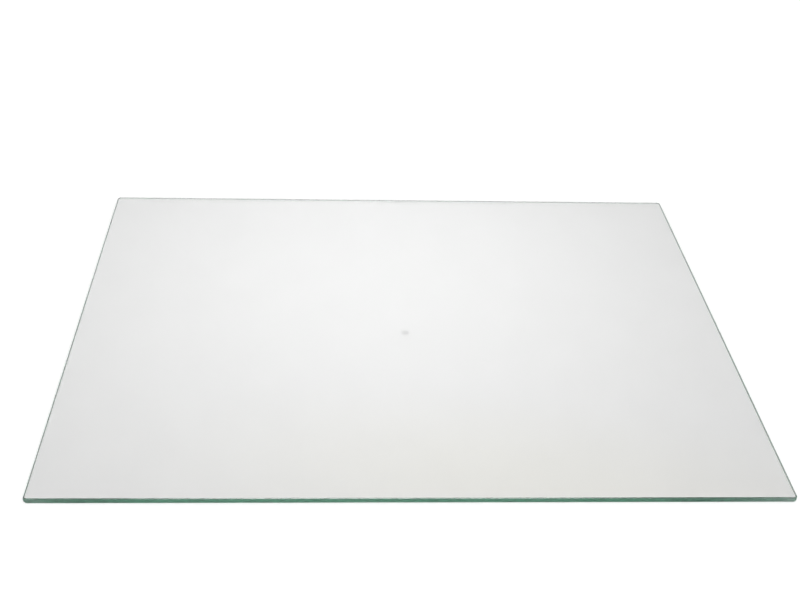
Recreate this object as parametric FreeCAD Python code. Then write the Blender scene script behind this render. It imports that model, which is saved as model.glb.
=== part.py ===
import FreeCAD
import Part
import os

# The middle glass pane of an oven door, lying flat: the plain sheet that stands between the
# door's inner and outer glass. It is one plate of clear toughened float glass, so it is one
# solid, with no hole, notch or print.
#
# The plate is worked in the order that a glass shop works it. It is cut to a rectangle. Each
# corner is dubbed, which takes its point off with a small straight cut. Then every sharp edge
# round both faces is seamed with a 45 degree arris, at the dubbed corners too, before the
# plate is toughened.
#
# Origin: the centre of the underside. +X runs along the long edges, +Y from the front long
# edge to the back one, and +Z up through the glass.

# Driving dimensions, in millimetres
PANE_WIDTH = 500.0  # overall, along X
PANE_DEPTH = 430.0  # overall, along Y
GLASS_THICKNESS = 4.0  # overall, along Z
CORNER_DUB = 2.0  # length that a corner's cut takes off each of the two edges that meet there
ARRIS_LEG = 0.5  # length that the arris takes off the face, and off the edge beside it


def cut_sheet():
    """The rectangle as it is snapped from the float glass, with sharp edges all round."""
    front_left = FreeCAD.Vector(-PANE_WIDTH / 2, -PANE_DEPTH / 2, 0)
    return Part.makeBox(PANE_WIDTH, PANE_DEPTH, GLASS_THICKNESS, front_left)


def is_upright(edge):
    """True for an edge that runs through the thickness of the glass, as at a corner."""
    start, end = (vertex.Point for vertex in edge.Vertexes)
    return abs(end.z - start.z) > GLASS_THICKNESS / 2


def dub_corners(sheet):
    """Takes the point off each corner, through the whole thickness."""
    corner_edges = [edge for edge in sheet.Edges if is_upright(edge)]
    return sheet.makeChamfer(CORNER_DUB, corner_edges)


def seam_edges(sheet):
    """Grinds the arris along every edge round both faces."""
    face_edges = [edge for edge in sheet.Edges if not is_upright(edge)]
    return sheet.makeChamfer(ARRIS_LEG, face_edges)


def main():
    pane = seam_edges(dub_corners(cut_sheet()))
    os.makedirs("parts", exist_ok=True)
    pane.Solids[0].exportStep("parts/middle_glass_pane.step")
    box = pane.BoundBox
    print(f"pane {box.XLength:.3f} x {box.YLength:.3f} x {box.ZLength:.3f} mm, {pane.Volume:.1f} mm3")


main()
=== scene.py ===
import math

import bpy
import numpy as np
from mathutils import Matrix, Vector


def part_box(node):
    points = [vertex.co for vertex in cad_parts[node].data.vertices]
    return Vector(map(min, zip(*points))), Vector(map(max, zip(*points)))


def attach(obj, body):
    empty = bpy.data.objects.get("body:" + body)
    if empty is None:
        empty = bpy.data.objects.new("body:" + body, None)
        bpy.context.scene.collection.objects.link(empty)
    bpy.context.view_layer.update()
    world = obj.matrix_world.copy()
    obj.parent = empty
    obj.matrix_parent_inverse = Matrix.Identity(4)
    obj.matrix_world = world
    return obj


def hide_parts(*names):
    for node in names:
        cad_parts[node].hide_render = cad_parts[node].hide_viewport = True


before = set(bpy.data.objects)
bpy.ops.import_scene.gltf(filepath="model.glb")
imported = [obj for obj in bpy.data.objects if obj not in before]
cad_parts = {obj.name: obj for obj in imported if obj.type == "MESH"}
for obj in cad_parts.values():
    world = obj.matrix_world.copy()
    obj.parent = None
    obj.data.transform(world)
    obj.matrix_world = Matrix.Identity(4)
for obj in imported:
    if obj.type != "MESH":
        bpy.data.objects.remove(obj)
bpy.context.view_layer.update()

# The middle glass pane of an oven door, lying flat on a white studio floor. Every length is
# in metres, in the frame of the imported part: the origin is the centre of the underside, +X
# is the right of the pane and +Y its back.

# The pane's form
NODE = "middle_glass_pane"
CORNER_DUB = 0.002  # what a corner's cut takes off each edge
ARRIS_LEG = 0.0005  # the mean leg of the 45 degree arris
ARRIS_WANDER = 0.05  # how far the belt makes the leg vary, as a share of it
WANDER_WAVES = ((9, 0.4), (23, 0.3), (57, 0.2), (131, 0.1))  # waves round the pane, and their share
LOWER_WANDER = 1.0  # where the wander of each arris starts
UPPER_WANDER = 4.0
FACET_TURN = math.radians(45)  # between the land and an arris, and between an arris and a face
ROUNDING = 0.00006  # from a ground facet's end to where it meets the next
ROUNDING_DEPTH = 0.17  # of the rounding's middle below that meeting, as a share of ROUNDING
CORNER_SOFTENING = 0.00015  # from an upright edge of a dubbed corner to each end of its rounding
CORNER_FULLNESS = 0.45  # how far that rounding's middle stands out from its chord to the sharp edge
CORNER_PLACES = 6  # how many places the outline has at each corner

# The slow waves that the rollers of the toughening oven leave in the sheet
BOW = 0.00002  # the most that they lift or lower the sheet
BOW_ALONG = (0.7, 0.24, 0.6)  # share, wavelength and phase of the waves from front to back
BOW_ACROSS = (0.3, 0.436, 2.1)

# The mesh of the faces
GRID_STEP = 0.005
GRID_MARGIN = 0.005

# The glass
GLASS_IOR = 1.52
GLASS_ABSORPTION = (5.5, 2.98, 3.88)  # of red, green and blue, for each metre
FACE_TINT = (0.849, 0.84, 0.843)  # the faint grey cast of the polished faces
CLOUD_SCALE = (30, 22, 0)  # of the faint haze on the faces
CLOUD_DETAIL = 4.0
CLOUD_RANGE = (0.35, 0.65)
CLOUD_TINT = 0.992  # of the haze where it is full, as a share of the face's tint
EDGE_TINT = (0.92, 0.92, 0.92)
ON_ARRIS = 0.5  # the ground share of an arris, where the land's is 1 and a face's is 0
LAND_ROUGHNESS = 0.32
SIDE_COARSER = 1.3  # how much rougher the left and right edges are, as a share
LINE_PITCH = 0.00009  # between the lines that the belt leaves along the edges
LINE_DEPTH = 0.0000015
LINE_DRIFT = 9  # how many waves the lines have along each metre
LINE_DETAIL = 3.0

# The dried spot on the upper face, a little in front of its centre
SPOT_PLACE = (0.0021, -0.0153)
SPOT_REACH = (0.0038, 0.0042)
SPOT_FADE = (0.0, 1.4)  # where it starts to fade and where it is gone, as shares of the reach
SPOT_GRAIN = (900, 900, 0)  # of the noise that makes its rim ragged
SPOT_DETAIL = 2.0
SPOT_GRAIN_RANGE = (0.3, 0.7)
SPOT_RAGGED = 0.25  # how far the rim moves in or out, as a share of the reach
SPOT_TINT = 0.74  # in its middle, as a share of the face's tint
SPOT_ROUGHNESS = 0.15

# The floor
FLOOR_SIZE = 60.0
FLOOR_GAP = 0.0003  # the air that stays under a hard flat sheet
FLOOR_COLOUR = 0.86
FLOOR_GLOW = (0.3, 2.0, 0.24, 0.75)  # two distances from the pane's centre, and the glow at each
GLOW_IN_GLASS = 0.6  # the share of the floor's own glow that glass shows

# The studio round the pane. A climb is two elevations in degrees, and the strength at each.
WALL_FOOT = (10, 24, 1.0, 0.05)
CEILING = (41, 58, 0.0, 1.1)
SIDE_WALL_FOOT = (10, 24, 0.0, 0.95)
SIDE_WALL_TOP = (38, 58, 1.0, 0.0)
SIDE_WALL_REACH = (0.55, 0.8)  # how far to the left or right a way points where they come in
AHEAD = (0.0, 0.4)  # the same for how far back it points, for what is on the far wall
GLOW_CENTRE = (0.03, 0.0, 0.513)  # the way to the middle of the glow, whose y has no use
GLOW_REACH = (0.475, None, 0.256)  # how far it spreads to each side, and up and down
GLOW_STRENGTH = 2.12
WARM_FOOT = (34, 39, 0.0, 1.0)
WARM_TOP = (41, 48, 1.0, 0.0)
WARM_REACH = (-0.25, 0.3)  # how far right a way points where the warm tint starts and is full
WARM_COLOUR = (1.04, 1.0, 0.72)
WHITE = (1.0, 1.0, 1.0)

# The lamps
LAMP_PLACE = Vector((0.1, -2.2, 2.5))
LAMP_TARGET = Vector((0.0, -0.2, 0.0))
SOFTBOX_SIZE = (3.2, 2.4)
SOFTBOX_RADIANCE = 1.5
STRIP_OFFSET = Vector((0.0, 0.02, -0.02))  # just in front of the softbox
STRIP_SIZE = (1.4, 0.9)
STRIP_RADIANCE = 11.2

# The camera, as fitted to the corners and edges in the photograph
CAMERA_PLACE = (-0.0551, -0.87346, 0.54358)
CAMERA_AZIMUTH = math.radians(3.491)
CAMERA_ELEVATION = math.radians(30.992)
CAMERA_ROLL = math.radians(2.133)
SENSOR_WIDTH = 36.0
LENS = 59.1
CLIP = (0.01, 100.0)

# Light goes back and forth inside the pane many times between its front and back edges.
MOST_BOUNCES = 96

# The mix node's sockets for two colours, and for what it makes of them
FIRST_COLOUR = 6
SECOND_COLOUR = 7
MIXED_COLOUR = 2


class Tree:
    """Short names for making and linking the nodes of one material or world."""

    def __init__(self, tree):
        self.tree = tree
        tree.nodes.clear()

    def add(self, kind, inputs=None, **settings):
        node = self.tree.nodes.new(kind)
        for name, value in settings.items():
            setattr(node, name, value)
        for socket, value in (inputs or {}).items():
            self.put(node.inputs[socket], value)
        return node

    def put(self, socket, value):
        if isinstance(value, bpy.types.NodeSocket):
            self.tree.links.new(value, socket)
        elif isinstance(value, bpy.types.Node):
            self.tree.links.new(value.outputs[0], socket)
        else:
            socket.default_value = value

    def maths(self, operation, *values):
        node = self.add("ShaderNodeMath", operation=operation)
        for socket, value in zip(node.inputs, values):
            self.put(socket, value)
        return node.outputs[0]

    def product(self, first, *others):
        for other in others:
            first = self.maths("MULTIPLY", first, other)
        return first

    def total(self, first, *others):
        for other in others:
            first = self.maths("ADD", first, other)
        return first

    def ramp(self, value, low, high, to_low=0.0, to_high=1.0, smooth=True):
        kind = "SMOOTHSTEP" if smooth else "LINEAR"
        inputs = {"Value": value, "From Min": low, "From Max": high, "To Min": to_low, "To Max": to_high}
        return self.add("ShaderNodeMapRange", inputs, interpolation_type=kind).outputs[0]

    def blend(self, factor, first, second):
        node = self.add("ShaderNodeMix", data_type="RGBA")
        self.put(node.inputs["Factor"], factor)
        for socket, colour in ((FIRST_COLOUR, first), (SECOND_COLOUR, second)):
            self.put(node.inputs[socket], (*colour, 1) if isinstance(colour, tuple) else colour)
        return node.outputs[MIXED_COLOUR]

    def ellipse(self, point, centre, reach):
        """How far a point is from the centre, as a share of the reach in x, y and z. A reach
        of None leaves that axis out."""
        moved = self.add("ShaderNodeVectorMath", {0: point, 1: [-c for c in centre]}, operation="ADD")
        scale = [1 / r if r else 0.0 for r in reach]
        scaled = self.add("ShaderNodeVectorMath", {0: moved, 1: scale}, operation="MULTIPLY")
        return self.add("ShaderNodeVectorMath", {0: scaled}, operation="LENGTH").outputs["Value"]

    def noise(self, point, scale, detail):
        scaled = self.add("ShaderNodeVectorMath", {0: point, 1: scale}, operation="MULTIPLY")
        inputs = {"Vector": scaled, "Scale": 1.0, "Detail": detail}
        return self.add("ShaderNodeTexNoise", inputs).outputs["Fac"]


def material(name):
    made = bpy.data.materials.new(name)
    made.use_nodes = True
    return made, Tree(made.node_tree)


def scaled(colour, share):
    return tuple(share * c for c in colour)


class Form:
    """The places of the pane's mesh, with the normal and the ground share of each."""

    def __init__(self):
        self.places = []
        self.normals = []
        self.ground = []

    def put(self, x, y, z, normal, ground):
        self.places.append((x, y, z + out_of_flat(x, y)))
        self.normals.append(normal)
        self.ground.append(ground)
        return len(self.places) - 1


def out_of_flat(x, y):
    def wave(place, share, length, phase):
        return share * math.sin(2 * math.pi * place / length + phase)

    return BOW * (wave(y, *BOW_ALONG) + wave(x, *BOW_ACROSS))


def arris_leg(turn, start):
    """The leg at a turn of 0 to 1 round the pane. Its wander is smooth and closes on itself."""
    wander = 0
    for waves, share in WANDER_WAVES:
        wander += share * math.sin(2 * math.pi * waves * turn + start + waves)
    return ARRIS_LEG * (1 + ARRIS_WANDER * wander)


def stations(half):
    """The places along one side at which the mesh has a row."""
    reach = half - GRID_MARGIN
    return np.linspace(-reach, reach, round(2 * reach / GRID_STEP) + 1)


def corner_run(half_x, half_y, inset):
    """The places round the (+x, +y) dubbed corner, from the right side to the back one, with
    the outward direction at each, for the outline moved in by inset."""
    shift = CORNER_DUB + inset * (math.sqrt(2) - 1)
    ends = ((half_x - inset, half_y - shift), (half_x - shift, half_y - inset))
    lie = math.sqrt(0.5)
    ways = ((0.0, 1.0), (-lie, lie), (-1.0, 0.0))
    outs = ((1.0, 0.0), (lie, lie), (0.0, 1.0))
    run = []
    for i, end in enumerate(ends):
        before = Vector(end) - Vector(ways[i]) * CORNER_SOFTENING
        after = Vector(end) + Vector(ways[i + 1]) * CORNER_SOFTENING
        middle = ((before + after) / 2).lerp(Vector(end), CORNER_FULLNESS)
        out_before = Vector(outs[i])
        out_after = Vector(outs[i + 1])
        out_middle = (out_before + out_after).normalized()
        run += [(before, out_before), (middle, out_middle), (after, out_after)]
    return run


def outline(half_x, half_y, insets):
    """Every place round the pane, anticlockwise from the front of the right side, moved in by
    its inset. Each is x, y and the outward direction."""
    xs, ys = stations(half_x), stations(half_y)
    places = []

    def side(points, out):
        for x, y in points:
            inset = insets[len(places)]
            places.append((x - out[0] * inset, y - out[1] * inset, *out))

    def corner(sign_x, sign_y):
        run = corner_run(half_x, half_y, insets[len(places)])
        if sign_x * sign_y < 0:
            run.reverse()
        places.extend((sign_x * p.x, sign_y * p.y, sign_x * o.x, sign_y * o.y) for p, o in run)

    side([(half_x, y) for y in ys], (1, 0))
    corner(1, 1)
    side([(x, half_y) for x in xs[::-1]], (0, 1))
    corner(-1, 1)
    side([(-half_x, y) for y in ys[::-1]], (-1, 0))
    corner(-1, -1)
    side([(x, -half_y) for x in xs], (0, -1))
    corner(1, -1)
    return places


def profile(thickness, low, high):
    """The ground edge from the underside to the upper face, for arrises with these legs. Each
    row is the inset, the height, the outward and upward parts of the normal, and how far the
    surface is ground: 0 on a face, ON_ARRIS on an arris and 1 on the land between them."""
    lie = math.cos(FACET_TURN)
    cos, sin = math.cos(FACET_TURN / 2), math.sin(FACET_TURN / 2)
    flat, slant = ROUNDING, ROUNDING * lie
    deep = ROUNDING * ROUNDING_DEPTH
    return (
        (low + flat, 0, 0, -1, 0),
        (low, deep, sin, -cos, ON_ARRIS),
        (low - slant, slant, lie, -lie, ON_ARRIS),
        (slant, low - slant, lie, -lie, ON_ARRIS),
        (deep, low, cos, -sin, ON_ARRIS),
        (0, low + flat, 1, 0, 1),
        (0, thickness - high - flat, 1, 0, 1),
        (deep, thickness - high, cos, sin, ON_ARRIS),
        (slant, thickness - high + slant, lie, lie, ON_ARRIS),
        (high - slant, thickness - slant, lie, lie, ON_ARRIS),
        (high, thickness - deep, sin, cos, ON_ARRIS),
        (high + flat, thickness, 0, 1, 0),
    )


def edge_rings(form, half_x, half_y, thickness):
    """Puts the places of the ground edge, as one ring for each row of its profile."""
    count = 2 * (len(stations(half_x)) + len(stations(half_y)) + 2 * CORNER_PLACES)
    profiles = [
        profile(thickness, arris_leg(i / count, LOWER_WANDER), arris_leg(i / count, UPPER_WANDER))
        for i in range(count)
    ]
    rings = []
    for rows in zip(*profiles):
        ring = []
        places = outline(half_x, half_y, [row[0] for row in rows])
        for (x, y, out_x, out_y), (_, z, out, up, ground) in zip(places, rows):
            coarser = 1 + SIDE_COARSER * out_x * out_x
            ring.append(form.put(x, y, z, (out_x * out, out_y * out, up), ground * coarser))
        rings.append(ring)
    return rings


def ring_cells(rings):
    cells = []
    for lower, upper in zip(rings, rings[1:]):
        for i in range(len(lower)):
            j = (i + 1) % len(lower)
            cells.append((lower[i], lower[j], upper[j], upper[i]))
    return cells


def face_cells(form, ring, half_x, half_y, z, up):
    """Puts the grid of one face, and gives its cells and those that join it to the ring."""
    xs, ys = stations(half_x), stations(half_y)
    grid = [[form.put(x, y, z, (0, 0, up), 0.0) for x in xs] for y in ys]
    cells = []
    for near, far in zip(grid, grid[1:]):
        cells += [(near[i], near[i + 1], far[i + 1], far[i]) for i in range(len(xs) - 1)]
    right = [row[-1] for row in grid]
    back = grid[-1][::-1]
    left = [row[0] for row in grid[::-1]]
    front = grid[0]
    at = 0
    for side in (right, back, left, front):
        for k in range(len(side) - 1):
            cells.append((side[k], ring[at + k], ring[at + k + 1], side[k + 1]))
        at += len(side)
        for k in range(at, at + CORNER_PLACES + 1):
            cells.append((side[-1], ring[k - 1], ring[k % len(ring)]))
        at += CORNER_PLACES
    return cells if up > 0 else [cell[::-1] for cell in cells]


def make_pane():
    """The pane as one closed mesh: two grids joined by the ground edge."""
    low, high = (Vector(corner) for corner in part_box(NODE))
    half_x, half_y = (high.x - low.x) / 2, (high.y - low.y) / 2
    thickness = high.z - low.z
    form = Form()
    rings = edge_rings(form, half_x, half_y, thickness)
    cells = ring_cells(rings)
    cells += face_cells(form, rings[-1], half_x, half_y, thickness, 1)
    cells += face_cells(form, rings[0], half_x, half_y, 0.0, -1)

    mesh = bpy.data.meshes.new("glass_pane")
    mesh.from_pydata(form.places, [], cells)
    mesh.validate(clean_customdata=False)
    mesh.polygons.foreach_set("use_smooth", [True] * len(mesh.polygons))
    mesh.normals_split_custom_set_from_vertices(form.normals)
    mesh.attributes.new("ground", "FLOAT", "POINT").data.foreach_set("value", form.ground)
    mesh.materials.append(make_glass(thickness))
    pane = bpy.data.objects.new("glass_pane", mesh)
    bpy.context.scene.collection.objects.link(pane)
    return pane


def spot_share(t, place, thickness):
    """1 in the middle of the dried spot on the upper face, and 0 outside its ragged rim."""
    height = t.add("ShaderNodeSeparateXYZ", {0: place}).outputs["Z"]
    on_top = t.ramp(height, thickness - ARRIS_LEG, thickness - ARRIS_LEG / 2)
    grain = t.noise(place, SPOT_GRAIN, SPOT_DETAIL)
    ragged = t.ramp(grain, *SPOT_GRAIN_RANGE, -SPOT_RAGGED, SPOT_RAGGED, smooth=False)
    reach = t.total(t.ellipse(place, (*SPOT_PLACE, 0), (*SPOT_REACH, None)), ragged)
    return t.product(t.ramp(reach, *SPOT_FADE, 1.0, 0.0), on_top)


def make_glass(thickness):
    """Clear float glass with a faint grey cast: polished faces with a trace of haze and one
    dried spot, and satin edges with the belt's lines along them."""
    made, t = material("clear_float_glass")
    place = t.add("ShaderNodeTexCoord").outputs["Object"]
    ground = t.add("ShaderNodeAttribute", attribute_name="ground").outputs["Fac"]
    is_edge = t.ramp(ground, 0.0, ON_ARRIS)
    spot = spot_share(t, place, thickness)
    cloud = t.ramp(t.noise(place, CLOUD_SCALE, CLOUD_DETAIL), *CLOUD_RANGE)
    tint = t.blend(cloud, FACE_TINT, scaled(FACE_TINT, CLOUD_TINT))
    tint = t.blend(spot, tint, scaled(FACE_TINT, SPOT_TINT))
    tint = t.blend(is_edge, tint, EDGE_TINT)
    roughness = t.total(t.product(ground, LAND_ROUGHNESS), t.product(spot, SPOT_ROUGHNESS))
    lines = t.noise(place, (LINE_DRIFT, LINE_DRIFT, 1 / LINE_PITCH), LINE_DETAIL)
    grain = t.add("ShaderNodeBump", {"Height": lines, "Strength": is_edge, "Distance": LINE_DEPTH})
    glass = t.add("ShaderNodeBsdfPrincipled", {
        "Base Color": tint,
        "Roughness": roughness,
        "IOR": GLASS_IOR,
        "Transmission Weight": 1.0,
        "Normal": grain,
    })
    most = max(GLASS_ABSORPTION)
    let_through = [1 - a / most for a in GLASS_ABSORPTION]
    absorbed = t.add("ShaderNodeVolumeAbsorption", {"Color": (*let_through, 1), "Density": most})
    t.add("ShaderNodeOutputMaterial", {"Surface": glass, "Volume": absorbed})
    return made


def make_floor():
    """A pale floor. Its own light brings it up to white, and it keeps the pane's shadow."""
    made, t = material("floor_white")
    paint = t.add("ShaderNodeBsdfDiffuse", {"Color": (*scaled(WHITE, FLOOR_COLOUR), 1)})
    place = t.add("ShaderNodeTexCoord").outputs["Object"]
    away = t.add("ShaderNodeVectorMath", {0: place}, operation="LENGTH").outputs["Value"]
    ray = t.add("ShaderNodeLightPath").outputs
    in_glass = t.maths("MAXIMUM", ray["Is Glossy Ray"], ray["Is Transmission Ray"])
    seen = t.maths("MAXIMUM", ray["Is Camera Ray"], t.product(in_glass, GLOW_IN_GLASS))
    glow = t.add("ShaderNodeEmission", {"Strength": t.product(seen, t.ramp(away, *FLOOR_GLOW))})
    surface = t.add("ShaderNodeAddShader", {0: paint, 1: glow})
    t.add("ShaderNodeOutputMaterial", {"Surface": surface})
    half = FLOOR_SIZE / 2
    corners = ((-half, -half), (half, -half), (half, half), (-half, half))
    mesh = bpy.data.meshes.new("floor")
    mesh.from_pydata([(x, y, -FLOOR_GAP) for x, y in corners], [], [(0, 1, 2, 3)])
    mesh.materials.append(made)
    floor = bpy.data.objects.new("floor", mesh)
    bpy.context.scene.collection.objects.link(floor)


def make_world():
    """A pale studio, white to the camera all round. What lights the pane and what it mirrors
    is white at the foot of the walls, dim above it on the front and far walls, bright at the
    sides and the ceiling, and has a broad glow on the far wall, warm at its top right."""
    world = bpy.data.worlds.new("studio")
    bpy.context.scene.world = world
    world.use_nodes = True
    t = Tree(world.node_tree)
    way = t.add("ShaderNodeTexCoord").outputs["Generated"]
    right, back, up = t.add("ShaderNodeSeparateXYZ", {0: way}).outputs

    def climb(low, high, to_low, to_high):
        return t.ramp(up, math.sin(math.radians(low)), math.sin(math.radians(high)), to_low, to_high)

    ahead = t.ramp(back, *AHEAD)
    glow = t.ramp(t.ellipse(way, GLOW_CENTRE, GLOW_REACH), 0.0, 1.0, GLOW_STRENGTH, 0.0)
    beside = t.ramp(t.maths("ABSOLUTE", right), *SIDE_WALL_REACH)
    side_walls = t.product(beside, climb(*SIDE_WALL_FOOT), climb(*SIDE_WALL_TOP))
    strength = t.total(climb(*WALL_FOOT), climb(*CEILING), t.product(glow, ahead), side_walls)
    strength = t.maths("MAXIMUM", strength, t.add("ShaderNodeLightPath").outputs["Is Camera Ray"])
    warmth = t.product(ahead, climb(*WARM_FOOT), climb(*WARM_TOP), t.ramp(right, *WARM_REACH))
    colour = t.blend(warmth, WHITE, WARM_COLOUR)
    background = t.add("ShaderNodeBackground", {"Color": colour, "Strength": strength})
    t.add("ShaderNodeOutputWorld", {"Surface": background})


def area_lamp(name, place, size, radiance):
    """A lamp that is as bright all over as radiance says, turned to the front of the pane."""
    data = bpy.data.lights.new(name, "AREA")
    data.shape = "RECTANGLE"
    data.size, data.size_y = size
    data.energy = radiance * math.pi * size[0] * size[1]
    lamp = bpy.data.objects.new(name, data)
    lamp.location = place
    lamp.rotation_euler = (LAMP_TARGET - place).to_track_quat("-Z", "Y").to_euler()
    bpy.context.scene.collection.objects.link(lamp)
    return lamp


def make_lamps():
    """A broad soft lamp, and a bright strip in its middle, which shows only as a gleam on
    what mirrors it."""
    area_lamp("softbox", LAMP_PLACE, SOFTBOX_SIZE, SOFTBOX_RADIANCE)
    strip = area_lamp("strip", LAMP_PLACE + STRIP_OFFSET, STRIP_SIZE, STRIP_RADIANCE)
    strip.visible_diffuse = False
    strip.visible_transmission = False


def make_camera():
    data = bpy.data.cameras.new("camera")
    data.sensor_fit = "HORIZONTAL"
    data.sensor_width = SENSOR_WIDTH
    data.lens = LENS
    data.clip_start, data.clip_end = CLIP
    camera = bpy.data.objects.new("camera", data)
    turn = Matrix.Rotation(-CAMERA_AZIMUTH, 3, "Z")
    turn @= Matrix.Rotation(math.pi / 2 - CAMERA_ELEVATION, 3, "X")
    turn @= Matrix.Rotation(CAMERA_ROLL, 3, "Z")
    camera.matrix_world = Matrix.Translation(CAMERA_PLACE) @ turn.to_4x4()
    bpy.context.scene.collection.objects.link(camera)
    bpy.context.scene.camera = camera


def main():
    scene = bpy.context.scene
    scene.view_settings.view_transform = "Standard"
    scene.cycles.max_bounces = MOST_BOUNCES
    scene.cycles.glossy_bounces = MOST_BOUNCES
    scene.cycles.transmission_bounces = MOST_BOUNCES
    scene.cycles.blur_glossy = 0.0
    make_camera()
    make_floor()
    make_world()
    make_lamps()
    pane = make_pane()
    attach(pane, "root")
    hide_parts(NODE)


main()
